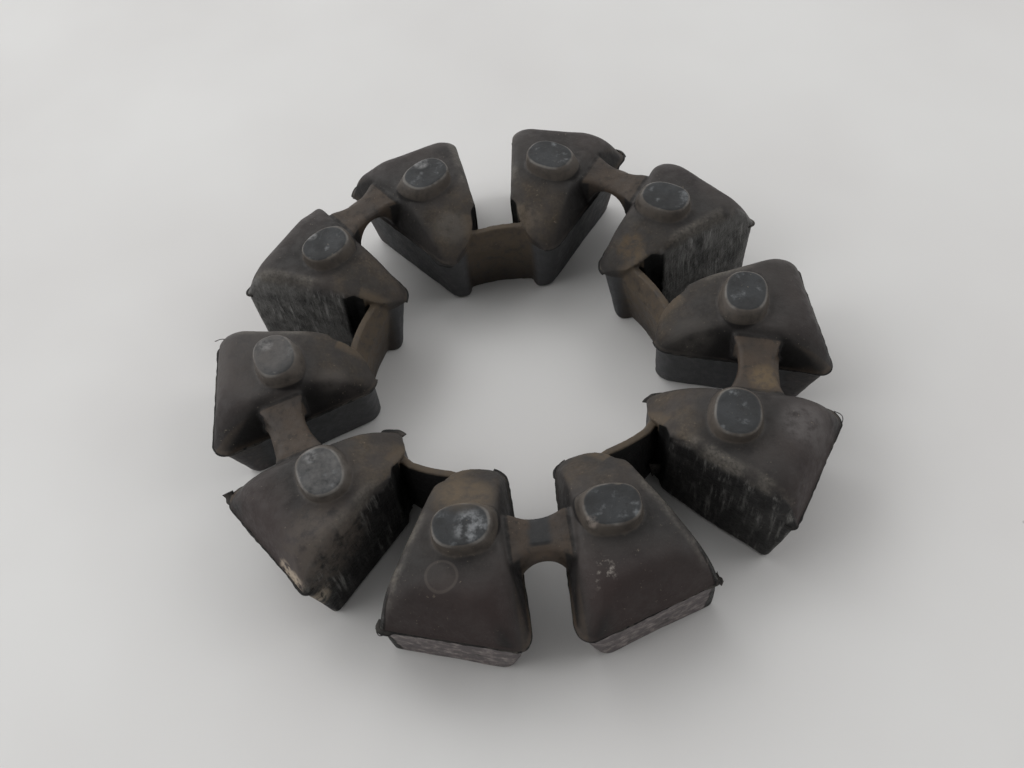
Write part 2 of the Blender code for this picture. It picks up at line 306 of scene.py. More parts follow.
# The mould's cavities for one pair of lugs
no_insets = (0.0,) * 4
rings = []
for rise, inset in FOOT_ROUNDING:
    insets = [draft + FOOT_EDGE * inset for draft in DRAFTS]
    rings.append((FOOT_EDGE * rise, lug_outline(insets, POCKET_FOOT_FLARE, FOOT_CORNERS)))
for drop, insets in ((2.0 * LIP_DEPTH, LIP_STEPS), (LIP_DEPTH, no_insets), (0.0, no_insets)):
    rings.append((PARTING_HEIGHT - drop, lug_outline(insets, POCKET_FLARE, PARTING_CORNERS)))
for step in range(LUG_LEVELS + 1):
    share = sin(pi / 2.0 * step / LUG_LEVELS)
    insets = [ledge + slope * share + lean(length, share, fullness)
              for ledge, slope, length, fullness in zip(PARTING_STEPS, SLOPES, LEANS, FULLNESSES)]
    flare = POCKET_FLARE + lean(POCKET_CREST_FLARE - POCKET_FLARE, share, FULLNESSES[2])
    corners = [low + (high - low) * share for low, high in zip(PARTING_CORNERS, PLATEAU_CORNERS)]
    height = PARTING_HEIGHT + LEDGE_RISE + (PLATEAU_HEIGHT - PARTING_HEIGHT - LEDGE_RISE) * share
    rings.append((height, lug_outline(insets, flare, corners)))
lugs = bmesh.new()
both_lugs(lugs, [[(p.x, p.y, z) for p in outline] for z, outline in rings])
lug_form = form("lug_form", lugs)

# The noses' spacing in front of each web, and the relief of the pocket behind it. A cut runs past the lug
# by its margin.
CUT_MARGIN = 1.0 * MM
CUT_START = NOSE_REACH - 3.0 * MM
WEB_BACK_RADIUS = 40.2 * MM
NOSE_HALF_SPACING = 8.6 * MM
SPACING_NARROWS = (18.5 * MM, 24.0 * MM)
# How far in from the cut's start, and how much wider the spacing is there
NOSE_ROUNDING = ((0.0, 4.5 * MM), (2.6 * MM, 2.3 * MM), (3.6 * MM, 1.4 * MM), (4.8 * MM, 0.6 * MM),
                 (6.2 * MM, 0.1 * MM))
RELIEF_HALF_WIDTH = 6.9 * MM
RELIEF_END = 41.2 * MM
RELIEF_SHOULDER = 43.0 * MM
RELIEF_IN_CREASE = (CREASE_RADIUS + 0.5 * MM, CREASE_HALF_WIDTH - 0.3 * MM)

reliefs = bmesh.new()
for side in (-1, 1):
    swing = Matrix.Rotation(radians(side * WEB_ANGLE), 3, "Z")
    rings = []
    for z, front in ((-CUT_MARGIN, NOSE_HALF_SPACING), (SPACING_NARROWS[0], NOSE_HALF_SPACING),
                     (SPACING_NARROWS[1], RELIEF_HALF_WIDTH),
                     (PLATEAU_HEIGHT + CUT_MARGIN, RELIEF_HALF_WIDTH)):
        edge = [(CUT_START + run, front + spread) for run, spread in NOSE_ROUNDING]
        edge += [(WEB_BACK_RADIUS, front), (RELIEF_END, RELIEF_HALF_WIDTH),
                 (RELIEF_SHOULDER, RELIEF_HALF_WIDTH), RELIEF_IN_CREASE]
        edge += [(x, -y) for x, y in reversed(edge)]
        rings.append([swing @ Vector((x, y, z)) for x, y in edge])
    loft(reliefs, rings)
relief_form = form("relief_form", reliefs)

# The strap, the web and the bosses that the same shot of rubber fills
STRAP_TOP = 26.3 * MM
STRAP_THICKNESS = 3.1 * MM
STRAP_INNER = 53.7 * MM
STRAP_WIDTH = 8.8 * MM
STRAP_FLARES = (2.6 * MM, 2.5 * MM)
STRAP_FLARE_RUN = 3.3 * MM
STRAP_ROOT = 6.8 * MM
STRAP_ROOT_DROP = 2.0 * MM
STRAP_ROOT_SPREAD = 0.9 * MM
STRAP_SETBACK = 0.5 * MM
STRAP_SAG = 0.4 * MM
STRAP_EDGE = 1.1 * MM
STRAP_STEPS = 28
BEAD_RADIUS = 1.25 * MM
BEAD_SIDES = 12
# How much of the bead's radius stands in past the strap's outer edge, and below its arch
BEAD_SET_IN = 0.8
BEAD_SET_DOWN = 0.6
# The web's section: radius and height in millimetres
WEB_SECTION = ((39.2, 0.2), (41.0, 0.2), (40.2, 21.5), (38.6, 21.5), (36.9, 16.3))
WEB_STEPS = 24
WEB_BITE = 1.6 * MM
# Its upper edge climbs to the noses by a height in millimetres, from a share of its length on
WEB_END_RISE = 1.6
WEB_RISE_START = 0.45
WEB_UPPER_EDGE = 20.0
BOSS_RADIUS = 53.4 * MM
BOSS_OFFSET = 16.8 * MM
BOSS_HALF_SIZES = (4.85 * MM, 6.15 * MM)
BOSS_SQUARENESS = 2.4
BOSS_TOP = PLATEAU_HEIGHT + 3.5 * MM
# The boss's wall: height above the plateau, and how far it stands out past the top
BOSS_WALL = ((-1.5, 1.1), (0.0, 1.0), (0.8, 0.85), (1.8, 0.62), (2.6, 0.4), (3.05, 0.15), (3.3, -0.02),
             (3.43, -0.15), (3.5, -0.45))
# The wall's foot stands out most towards the strap and the nose
BOSS_FOOT_SHIFT = (-0.35 * MM, -0.8 * MM)
OVAL_STEPS = 64

gap_share = (STRAP_INNER + STRAP_WIDTH / 2.0 - NOSE_REACH) / (OUTER_FACE_REACH - NOSE_REACH)
half_gap = HALF_GAP_AT_NOSE + (HALF_GAP_AT_RIM - HALF_GAP_AT_NOSE) * gap_share
arch = half_gap + STRAP_SETBACK
spring = STRAP_TOP - STRAP_THICKNESS - arch
extras = bmesh.new()


def strap_sides(y):
    """The strap's inner and outer edge at a distance from its middle."""
    flare = min(1.0, abs(y) / (half_gap + STRAP_FLARE_RUN)) ** 2
    return STRAP_INNER - STRAP_FLARES[0] * flare, STRAP_INNER + STRAP_WIDTH + STRAP_FLARES[1] * flare


root_height = spring - STRAP_ROOT_DROP
stations = [(-half_gap - STRAP_ROOT, root_height), (-arch - STRAP_ROOT_SPREAD, root_height)]
for step in range(STRAP_STEPS + 1):
    swing = pi * (1.0 - step / STRAP_STEPS)
    stations.append((arch * cos(swing), spring + arch * sin(swing)))
stations += [(-y, z) for y, z in reversed(stations[:2])]
rings = []
for y, low in stations:
    inner, outer = strap_sides(y)
    top = STRAP_TOP - STRAP_SAG * (1.0 - min(1.0, abs(y) / arch) ** 2)
    edge = STRAP_EDGE
    rings.append([(inner, y, low + edge), (inner, y, top - edge), (inner + 0.3 * edge, y, top - 0.3 * edge),
                  (inner + edge, y, top), (outer - 2.0 * edge, y, top), (outer - edge, y, top - 0.35 * edge),
                  (outer - 0.6 * edge, y, top - 1.2 * edge), (outer - 0.6 * edge, y, low + edge),
                  (outer - edge, y, low), (inner + edge, y, low)])
loft(extras, rings)

rings = []
for step in range(-2, STRAP_STEPS + 3):
    swing = pi * (1.0 - min(max(step, 0), STRAP_STEPS) / STRAP_STEPS)
    y = arch * cos(swing)
    z = spring + (arch + BEAD_SET_DOWN * BEAD_RADIUS) * sin(swing) - max(0, -step, step - STRAP_STEPS) * MM
    outer = strap_sides(y)[1] - BEAD_SET_IN * BEAD_RADIUS
    out = Vector((0.0, cos(swing), sin(swing)))
    centre = Vector((outer, y + BEAD_SET_DOWN * BEAD_RADIUS * cos(swing), z))
    rings.append([centre + BEAD_RADIUS * (cos(a) * Vector((1.0, 0.0, 0.0)) + sin(a) * out)
                  for a in (2.0 * pi * side / BEAD_SIDES for side in range(BEAD_SIDES))])
loft(extras, rings)

web_half_angle = asin((NOSE_HALF_SPACING + WEB_BITE) / (WEB_SECTION[0][0] * MM))
for side, start in ((-1, 0.0), (1, -web_half_angle)):
    rings = []
    for step in range(WEB_STEPS + 1):
        swing = radians(side * WEB_ANGLE) + start + web_half_angle * step / WEB_STEPS
        nearness = step / WEB_STEPS if side < 0 else 1.0 - step / WEB_STEPS
        rise = WEB_END_RISE * max(0.0, (nearness - WEB_RISE_START) / (1.0 - WEB_RISE_START)) ** 3
        section = [(r, z + (rise if z > WEB_UPPER_EDGE else 0.0)) for r, z in WEB_SECTION]
        rings.append([(r * MM * cos(swing), r * MM * sin(swing), z * MM) for r, z in section])
    loft(extras, rings)


def oval(grown, shift):
    """A boss's outline in plan, grown and shifted."""
    points = []
    for step in range(OVAL_STEPS):
        swing = 2.0 * pi * step / OVAL_STEPS
        x, y = [copysign(abs(v) ** (2.0 / BOSS_SQUARENESS), v) for v in (cos(swing), sin(swing))]
        points.append((BOSS_RADIUS + shift[0] + x * (BOSS_HALF_SIZES[0] + grown),
                       BOSS_OFFSET + shift[1] + y * (BOSS_HALF_SIZES[1] + grown)))
    return points


rings = []
for rise, grown in BOSS_WALL:
    shift = [distance * max(0.0, grown) for distance in BOSS_FOOT_SHIFT]
    rings.append([(x, y, PLATEAU_HEIGHT + rise * MM) for x, y in oval(grown * MM, shift)])
both_lugs(extras, rings)
extra_form = form("extra_form", extras)

# The five pairs are set round the axis, and the rubber flows together into one skin
VOXEL = 0.34 * MM
SKIN_SMOOTHING = 2
SKIN_TRIANGLES = 190000
# The skin's dents: their size in millimetres, and the range of their depths
DENTS = ((14.0, 0.5), (4.0, 0.14))

group = bpy.data.node_groups.new("ring_of_pairs", "GeometryNodeTree")
for name, kind in (("Lugs", "NodeSocketObject"), ("Reliefs", "NodeSocketObject"),
                   ("Straps, webs and bosses", "NodeSocketObject"), ("Pair count", "NodeSocketInt"),
                   ("First angle", "NodeSocketFloat"), ("Material", "NodeSocketMaterial")):
    group.interface.new_socket(name, in_out="INPUT", socket_type=kind)
group.interface.new_socket("Ring", in_out="OUTPUT", socket_type="NodeSocketGeometry")
asked = group.nodes.new("NodeGroupInput").outputs
bodies = [add(group, "GeometryNodeObjectInfo", {"Object": asked[name]}).outputs["Geometry"]
          for name in ("Lugs", "Reliefs", "Straps, webs and bosses")]
cut = add(group, "GeometryNodeMeshBoolean", {"Mesh 1": bodies[0], "Mesh 2": bodies[1]},
          operation="DIFFERENCE", solver="EXACT").outputs["Mesh"]
pair = add(group, "GeometryNodeJoinGeometry", {"Geometry": cut})
group.links.new(bodies[2], pair.inputs["Geometry"])
points = add(group, "GeometryNodePoints", {"Count": asked["Pair count"]}).outputs[0]
number = add(group, "GeometryNodeInputIndex").outputs[0]
step_angle = add(group, "ShaderNodeMath", {0: 2.0 * pi, 1: asked["Pair count"]},
                 operation="DIVIDE").outputs[0]
angle = add(group, "ShaderNodeMath", {0: number, 1: step_angle, 2: asked["First angle"]},
            operation="MULTIPLY_ADD").outputs[0]
swing = add(group, "ShaderNodeCombineXYZ", {"Z": angle}).outputs[0]
placed = add(group, "GeometryNodeInstanceOnPoints",
             {"Points": points, "Instance": pair.outputs[0], "Rotation": swing}).outputs[0]
real = add(group, "GeometryNodeRealizeInstances", {"Geometry": placed}).outputs[0]
coated = add(group, "GeometryNodeSetMaterial", {"Geometry": real, "Material": asked["Material"]}).outputs[0]
add(group, "NodeGroupOutput", {0: coated})


def settled_mesh(item):
    """The object's evaluated mesh, as a plain mesh of its own."""
    depsgraph = bpy.context.evaluated_depsgraph_get()
    mesh = bpy.data.meshes.new_from_object(item.evaluated_get(depsgraph), depsgraph=depsgraph)
    mesh.name = item.name
    return mesh


rubber, tree, shader = new_material("vulcanised_rubber_moulding")
ring = linked("damper_moulding", bpy.data.meshes.new("damper_moulding"))
modifier = ring.modifiers.new("ring of pairs", "NODES")
modifier.node_group = group
values = {"Lugs": lug_form, "Reliefs": relief_form, "Straps, webs and bosses": extra_form,
          "Pair count": PAIR_COUNT, "First angle": radians(FIRST_PAIR_ANGLE), "Material": rubber}
for socket in group.interface.items_tree:
    if socket.in_out == "INPUT":
        modifier[socket.identifier] = values[socket.name]
skin = ring.modifiers.new("one skin", "REMESH")
skin.mode = "VOXEL"
skin.voxel_size = VOXEL
soften = ring.modifiers.new("softened", "SMOOTH")
soften.iterations = SKIN_SMOOTHING
for size, depth in DENTS:
    cloud = bpy.data.textures.new("dents %g mm" % size, "CLOUDS")
    cloud.noise_scale = size * MM
    dent = ring.modifiers.new("dents", "DISPLACE")
    dent.texture = cloud
    dent.texture_coords = "OBJECT"
    dent.strength = depth * MM
ring.data = settled_mesh(ring)
ring.modifiers.clear()
for helper in (lug_form, relief_form, extra_form):
    bpy.data.objects.remove(helper, do_unlink=True)

lighter = ring.modifiers.new("lighter", "DECIMATE")
lighter.ratio = min(1.0, SKIN_TRIANGLES / (2.0 * len(ring.data.polygons)))
ring.data = settled_mesh(ring)
ring.modifiers.clear()

# Years of load have leaned each lug a little: how far its top went outward and sideways, in millimetres,
# for the two lugs of each pair. The last pairs of values draw the lugs' outer ends out, and the shifts
# move a pair's strap outward.
LUG_LEANS = (((-1.9, -1.3), (-1.9, 0.3)), ((0.5, -0.1), (1.0, -0.7)), ((0.5, 1.4), (-0.6, 0.7)),
             ((-0.9, -0.5), (-0.3, -1.2)), ((0.7, 1.5), (0.6, 0.0)))
STRAP_SHIFTS = (-2.7, -0.3, 0.3, 2.9, -1.2)
END_STRETCHES = ((0.8, 0.8), (0.0, 2.4), (0.0, 0.0), (-0.4, 0.0), (0.0, -0.6))
END_REACHES = (56.0, 74.0)
LUG_HALF_ANGLE = degrees(atan(BOSS_OFFSET / BOSS_RADIUS))
LUG_STEADY_ANGLE = 11.0


def smooth(values, low, high):
    """A soft step from 0 at low to 1 at high, which may be lower than low."""
    share = np.clip((values - low) / (high - low), 0.0, 1.0)
    return share * share * (3.0 - 2.0 * share)


def pair_places(points):
    """Each point in its pair's frame, in millimetres: outward, away from the pair's middle, and up."""
    around = np.degrees(np.arctan2(points[:, 1], points[:, 0]))
    from_middle = (around - FIRST_PAIR_ANGLE + WEB_ANGLE) % PAIR_STEP - WEB_ANGLE
    radius = np.hypot(points[:, 0], points[:, 1])
    turned = np.radians(np.abs(from_middle))
    return np.stack((radius * np.cos(turned), radius * np.sin(turned), points[:, 2]), axis=1) / MM


def settled(points):
    """Leans and stretches points, in metres, as the used ring's lugs have gone."""
    angles, moves = [], []
    for pair in range(PAIR_COUNT):
        middle = FIRST_PAIR_ANGLE + PAIR_STEP * pair
        out, along = [np.array((cos(radians(middle + t)), sin(radians(middle + t)))) for t in (0.0, 90.0)]
        for side in (1, 0):
            lean_out, lean_side = LUG_LEANS[pair][side]
            move = np.concatenate((out * lean_out + along * lean_side, out * END_STRETCHES[pair][side]))
            centre = middle + (LUG_HALF_ANGLE if side == 0 else -LUG_HALF_ANGLE)
            angles += [centre - LUG_STEADY_ANGLE, centre + LUG_STEADY_ANGLE]
            moves += [move, move]
    angles, moves = np.array(angles), np.array(moves)
    angles = np.concatenate((angles - 360.0, angles, angles + 360.0))
    moves = np.concatenate((moves, moves, moves))
    around = np.degrees(np.arctan2(points[:, 1], points[:, 0]))
    radius = np.hypot(points[:, 0], points[:, 1]) / MM
    move = np.stack([np.interp(around, angles, moves[:, column]) for column in range(4)], axis=1)
    height = np.clip(points[:, 2:3] / BOSS_TOP, 0.0, 1.0)
    result = points.copy()
    result[:, :2] += MM * (move[:, :2] * height + move[:, 2:] * smooth(radius, *END_REACHES)[:, None])
    # The strap and what is near it, in millimetres
    near_strap = smooth(pair_places(points)[:, 1], 12.0, 6.5) * smooth(points[:, 2] / MM, 8.0, 17.0)
    near_strap *= smooth(radius, 36.0, 46.0) * smooth(radius, 76.0, 68.0)
    pair = np.floor((around - FIRST_PAIR_ANGLE) / PAIR_STEP + 0.5).astype(int) % PAIR_COUNT
    pair_angle = np.radians(FIRST_PAIR_ANGLE + PAIR_STEP * pair)
    shift = MM * np.array(STRAP_SHIFTS)[pair] * near_strap
    result[:, 0] += shift * np.cos(pair_angle)
    result[:, 1] += shift * np.sin(pair_angle)
    return result


# Places on each lug, written on the mesh for the material to read: its place in the pair, and its distance
# into the lug from the pocket's flank, along the web's line and across it
web_turn = radians(WEB_ANGLE)
skin_points = np.empty(len(ring.data.vertices) * 3)
ring.data.vertices.foreach_get("co", skin_points)
skin_points = skin_points.reshape(-1, 3)
places = pair_places(skin_points)
along_web = places[:, 0] * cos(web_turn) + places[:, 1] * sin(web_turn)
from_web = np.abs(places[:, 0] * sin(web_turn) - places[:, 1] * cos(web_turn))
flank_half_width = CREASE_HALF_WIDTH / MM + (along_web - CREASE_RADIUS / MM) * tan(radians(POCKET_FLARE))
web_places = np.stack((from_web - flank_half_width, along_web, from_web), axis=1)
for name, values in (("pair_place", places), ("web_place", web_places)):
    ring.data.attributes.new(name, "FLOAT_VECTOR", "POINT").data.foreach_set("vector", values.ravel())
ring.data.vertices.foreach_set("co", settled(skin_points).ravel())
ring.data.update()
ring.data.shade_smooth()
ring.data.materials.clear()
ring.data.materials.append(rubber)
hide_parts("damper_ring")
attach(ring, "root")

# The rubber: natural rubber filled with carbon black. It is matt and soft to the eye, dark grey where it is
# bare, brown where dust and oil have dried on it, smudged on the bosses and rubbed black in the pockets.
# Shade in its gaps, creases, reliefs and hollows is painted into its colour, and so are some highlights,
# sheens and glints.
RUBBER_SPECULAR = 0.3
DUST_ROUGHNESS = 0.1
# Noise patterns: the size of their features in millimetres, their detail and their roughness. They are the
# broad tones, blotches, mottle, grain, the rubbed patches, smudges and ripples.
PATTERNS = ((18.0, 3.0, 0.55), (6.0, 4.0, 0.55), (2.2, 4.0, 0.65), (0.7, 3.0, 0.55), (9.0, 2.0, 0.55),
            (2.8, 5.0, 0.55), (3.5, 3.0, 0.55))
# Scratches run up and down, so their pattern is drawn out upwards
SCRATCH_WIDTH_MM = 1.3
SCRATCH_DETAIL = 6.0
SCRATCH_ROUGHNESS = 0.72
SCRATCH_STRETCH = (1.0, 1.0, 0.1)
# How far the zones' edges wander, in millimetres, with the blotches and with the mottle
WANDER = (3.0, 1.6)
# The share of the wander that the pockets' flanks take
FLANK_WANDER = 0.25
# How far the outer face falls back for each millimetre away from the pair's middle
OUTER_SLANT = 0.32
# Marks that this ring carries, in millimetres: a mark's middle, its reach, its tone, the mottle's values
# between which it thickens, and its strength
SURFACE_MARKS = (
    # Chalky smudges on the bosses' tops
    ((-56.9, 0.8, 31.5), 8.0, "#7b7977", 0.2, 0.75, 0.4),
    ((-45.8, -34.1, 31.5), 8.0, "#7b7977", 0.2, 0.75, 0.45),
    ((-14.4, -52.2, 31.5), 4.8, "#a5a8ab", 0.42, 0.7, 0.42),
    # A stained nose, the chip in one boss, scuffs and sheens on the lugs
    ((-15.5, -43.0, 27.0), 8.5, "#6a5c49", 0.15, 0.62, 0.5),
    ((43.6, -25.4, 31.5), 3.0, "#0b0b0b", 0.75, 0.5, 0.9),
    ((12.0, -64.4, 25.0), 5.0, "#a39d96", 0.54, 0.7, 0.6),
    ((-52.6, -52.6, 12.0), 5.6, "#b3a694", 0.38, 0.58, 0.85),
    ((41.8, -7.3, 24.0), 7.5, "#43403d", 0.15, 0.6, 0.75),
    ((-42.5, -7.3, 26.5), 6.0, "#4b4744", 0.15, 0.6, 0.75),
    ((60.7, -36.5, 25.0), 8.0, "#615e5d", 0.25, 0.65, 0.6),
    ((56.2, -22.5, 26.0), 5.0, "#67573f", 0.3, 0.6, 0.6),
    ((-52.2, 30.1, 5.0), 7.0, "#7d7e7d", 0.3, 0.65, 0.6),
    ((8.0, 39.5, 25.0), 6.0, "#5f574e", 0.35, 0.65, 0.6),
    ((33.8, 23.9, 24.0), 5.0, "#594a36", 0.3, 0.6, 0.6),
    ((-11.5, 39.1, 25.0), 6.0, "#54504b", 0.2, 0.6, 0.7),
    ((-9.6, -68.5, 22.0), 2.0, "#75675a", 0.3, 0.5, 0.5),
    ((10.5, -55.0, 31.0), 1.8, "#8d837c", 0.35, 0.6, 0.5),
    # The pale scuffed end of one lug, and painted light on the top of its neighbour
    ((-46.0, -48.0, 22.0), 13.0, "#514a44", 0.3, 0.6, 0.8),
    ((-55.3, -49.8, 19.0), 3.4, "#a99c8b", 0.4, 0.58, 0.75),
    ((-52.8, -52.6, 18.5), 3.6, "#a99c8b", 0.36, 0.56, 0.8),
    ((-63.0, 2.0, 27.0), 14.0, "#4e4946", 0.2, 0.6, 0.5),
    # Painted glints on the bosses' rims, and dust on a lug
    ((-58.5, 2.6, 31.5), 2.2, "#a9a9a9", 0.3, 0.7, 0.38),
    ((-48.0, -30.0, 31.5), 2.2, "#a9a9a9", 0.3, 0.7, 0.38),
    ((-17.6, 57.4, 31.5), 2.6, "#a9a9a9", 0.3, 0.7, 0.55),
    ((-47.5, 36.0, 31.5), 1.9, "#a9a9a9", 0.3, 0.7, 0.38),
    ((34.0, -60.0, 22.0), 6.0, "#77706a", 0.52, 0.7, 0.5))
# A mark fades in from its reach to this share of it
MARK_CORE = 0.45
MOULD_MARK = (-21.6, -60.9, 26.5)


def zone(*parts):
    """Where all of its parts hold, from 0 to 1. A part is a share, or a value with the two limits between
    which it comes in softly, and with its shares at those limits where they aren't 0 and 1."""
    result = None
    for part in parts:
        if isinstance(part, tuple):
            value, low, high, start, end = (part + (0.0, 1.0))[:5]
            part = add(tree, "ShaderNodeMapRange",
                       {"Value": value, "From Min": low, "From Max": high, "To Min": start, "To Max": end},
                       interpolation_type="SMOOTHSTEP").outputs["Result"]
        if result is not None:
            part = add(tree, "ShaderNodeMath", {0: result, 1: part}, operation="MULTIPLY").outputs[0]
        result = part
    return result


def coat(colour, tone, *parts):
    """A colour with a tone laid over it, where all of the parts hold."""
    tone = hex_colour(tone) if isinstance(tone, str) else tone
    return add(tree, "ShaderNodeMix", {"Factor": zone(*parts), "A": colour, "B": tone},
               data_type="RGBA").outputs["Result"]


place = add(tree, "ShaderNodeTexCoord").outputs["Object"]
rearward = add(tree, "ShaderNodeSeparateXYZ", {0: place}).outputs[1]
normal = add(tree, "ShaderNodeTexCoord").outputs["Normal"]
rising = add(tree, "ShaderNodeSeparateXYZ", {0: normal}).outputs[2]
broad, blotches, mottle, grain, patches, smudges, ripples = [
    add(tree, "ShaderNodeTexNoise", {"Vector": place, "Scale": per(size), "Detail": detail,
                                     "Roughness": roughness}).outputs["Fac"]
    for size, detail, roughness in PATTERNS]
drawn_out = add(tree, "ShaderNodeMapping", {"Vector": place, "Scale": SCRATCH_STRETCH}).outputs[0]
scratches = add(tree, "ShaderNodeTexNoise", {"Vector": drawn_out, "Scale": per(SCRATCH_WIDTH_MM),
                                             "Detail": SCRATCH_DETAIL,
                                             "Roughness": SCRATCH_ROUGHNESS}).outputs["Fac"]
wander = add(tree, "ShaderNodeMath", {0: mottle, 1: WANDER[1], 2: -sum(WANDER) / 2.0},
             operation="MULTIPLY_ADD").outputs[0]
wander = add(tree, "ShaderNodeMath", {0: blotches, 1: WANDER[0], 2: wander},
             operation="MULTIPLY_ADD").outputs[0]

# A place in its pair, the same with the wander, and by its web, all in millimetres
pair_place = add(tree, "ShaderNodeAttribute", attribute_name="pair_place").outputs["Vector"]
out, side, up = add(tree, "ShaderNodeSeparateXYZ", {0: pair_place}).outputs
wandering = add(tree, "ShaderNodeVectorMath", {0: pair_place, 1: wander}, operation="ADD").outputs[0]
loose_out, loose_side, loose_up = add(tree, "ShaderNodeSeparateXYZ", {0: wandering}).outputs
web_place = add(tree, "ShaderNodeAttribute", attribute_name="web_place").outputs["Vector"]
into_lug, web_out, web_side = add(tree, "ShaderNodeSeparateXYZ", {0: web_place}).outputs
loose_into_lug = add(tree, "ShaderNodeMath", {0: wander, 1: FLANK_WANDER, 2: into_lug},
                     operation="MULTIPLY_ADD").outputs[0]
flat_place = add(tree, "ShaderNodeVectorMath", {0: pair_place, 1: (1.0, 1.0, 0.0)},
                 operation="MULTIPLY").outputs[0]
radius = add(tree, "ShaderNodeVectorMath", {0: flat_place}, operation="LENGTH").outputs["Value"]

# How far out from a boss's middle a point is, 1 at the boss's edge
powers = []
for value, middle, half_size in ((out, BOSS_RADIUS, BOSS_HALF_SIZES[0]),
                                 (side, BOSS_OFFSET, BOSS_HALF_SIZES[1])):
    for operation, by in (("SUBTRACT", middle / MM), ("DIVIDE", half_size / MM), ("ABSOLUTE", 0.0),
                          ("POWER", BOSS_SQUARENESS)):
        value = add(tree, "ShaderNodeMath", {0: value, 1: by}, operation=operation).outputs[0]
    powers.append(value)
boss_reach = add(tree, "ShaderNodeMath", {0: powers[0], 1: powers[1]}, operation="ADD").outputs[0]
boss_reach = add(tree, "ShaderNodeMath", {0: boss_reach, 1: 1.0 / BOSS_SQUARENESS},
                 operation="POWER").outputs[0]
boss_face = zone((boss_reach, 0.985, 0.93), (up, 30.9, 31.2))
boss_rim = zone((boss_reach, 1.06, 1.0), (boss_reach, 0.9, 0.97), (up, 30.7, 31.1))
collar = zone((boss_reach, 1.42, 1.2), (up, 28.0, 28.5))

# The zones, their edges wandering a little. Limits of places are in millimetres.
lying = zone((rising, 0.35, 0.8))
# Painted shade: the lugs' walls that face the gaps beside the straps
shaded_gap_wall = zone((loose_side, 14.0, 10.0), (rising, 0.72, 0.38), (out, 40.0, 50.0))
strap_edge = add(tree, "ShaderNodeMath", {0: lying, 1: zone((side, 5.6, 4.9))},
                 operation="MAXIMUM").outputs[0]
strap = zone((side, 7.6, 6.9), (up, 13.0, 16.0), (out, 47.0, 49.0), strap_edge)
bare_middle = zone((loose_side, 3.4, 1.6), (rearward, -30.0 * MM, -45.0 * MM))
strap_polish = zone(bare_middle, (out, 60.2, 59.6))
strap_line = zone(bare_middle, (out, 59.3, 59.8), (out, 60.6, 60.1))
band = zone((up, 17.6, 17.2))
slanted = add(tree, "ShaderNodeMath", {0: side, 1: OUTER_SLANT, 2: out}, operation="MULTIPLY_ADD").outputs[0]
outer_face = zone((slanted, 66.0, 70.0))
outer_end = zone((out, 58.0, 70.0))
nose = zone((loose_out, 50.0, 43.0))
web = zone((web_side, 10.5, 8.5), (web_out, 42.2, 41.6))
off_web = add(tree, "ShaderNodeMath", {0: 1.0, 1: web}, operation="SUBTRACT").outputs[0]
# Painted shade: the webs' backs below their top edge
shaded_web_back = zone((radius, 39.5, 39.9), (up, 21.3, 20.9))
flank = zone((loose_into_lug, 1.7, 1.0), (web_out, 44.6, 45.4), (loose_up, 27.0, 23.5))
# The rounded edge above the pockets' flanks
roll = zone((into_lug, -0.4, 0.7), (into_lug, 3.6, 1.6), (up, 22.0, 25.5), (web_out, 46.0, 52.0))
# Painted shade: the creases where the straps meet the lugs
crease = zone((side, 6.7, 7.1), (side, 8.1, 7.5), (up, 13.0, 16.0), (out, 48.5, 50.5), (out, 66.0, 64.0))
relief = zone((web_side, 7.9, 7.3), (web_out, 40.6, 41.0), (web_out, 46.4, 45.4), (rising, 0.5, 0.25))
pointed = add(tree, "ShaderNodeNewGeometry").outputs["Pointiness"]
edge = zone((pointed, 0.515, 0.60))
shaded_hollow = zone((pointed, 0.49, 0.42))
front_of_ring = zone((rearward, -30.0 * MM, -55.0 * MM))
back_of_ring = zone((rearward, -10.0 * MM, 20.0 * MM))

# Bare rubber, then dust and oil on the lugs, the webs and the straps, with painted shade on the gaps' walls,
# the webs' backs and the creases, and a painted highlight on the lugs' rounded edges
colour = coat(hex_colour("#2a2827"), "#35312f", (broad, 0.35, 0.65))
colour = coat(colour, "#1c1a1a", (blotches, 0.48, 0.7), 0.7)
colour = coat(colour, "#48443f", (grain, 0.5, 0.7), (mottle, 0.45, 0.7), 0.35)
colour = coat(colour, "#2d2120", outer_end, (side, 6.0, 10.0), (rearward, -20.0 * MM, -50.0 * MM, 0.35, 0.7))
# Painted shade: the gaps' walls beside the straps, darkened almost to black
colour = coat(colour, "#131111", shaded_gap_wall, 0.9)
colour = coat(colour, "#52483b", nose, lying, (blotches, 0.35, 0.7, 0.1, 0.8), (broad, 0.35, 0.6, 0.35, 1.0),
              (grain, 0.3, 0.7, 0.5, 1.0))
colour = coat(colour, "#4e4438", web, (up, 2.0, 14.0, 0.35, 0.9), (mottle, 0.2, 0.6))
# Painted shade: the webs' backs, darkened almost to black
colour = coat(colour, "#0d0c0c", web, shaded_web_back)
colour = coat(colour, "#4b453f", collar, (mottle, 0.25, 0.65, 0.35, 0.9))
colour = coat(colour, "#3f352c", strap, (blotches, 0.25, 0.65, 0.25, 0.95))
colour = coat(colour, "#2a2826", strap, (mottle, 0.52, 0.7), 0.7)
# Painted shade: a near black line in the creases beside the straps
colour = coat(colour, "#100e0d", crease, (mottle, 0.3, 0.6, 0.3, 0.8))
# Dust and a painted highlight: a pale band along the rounded edge above the pockets' flanks
colour = coat(colour, "#5a5650", roll, (blotches, 0.35, 0.6), (grain, 0.3, 0.6, 0.3, 0.8))
colour = coat(colour, "#25282b", strap, strap_polish, 0.8)
colour = coat(colour, "#0e0f10", strap, strap_line, 0.85)

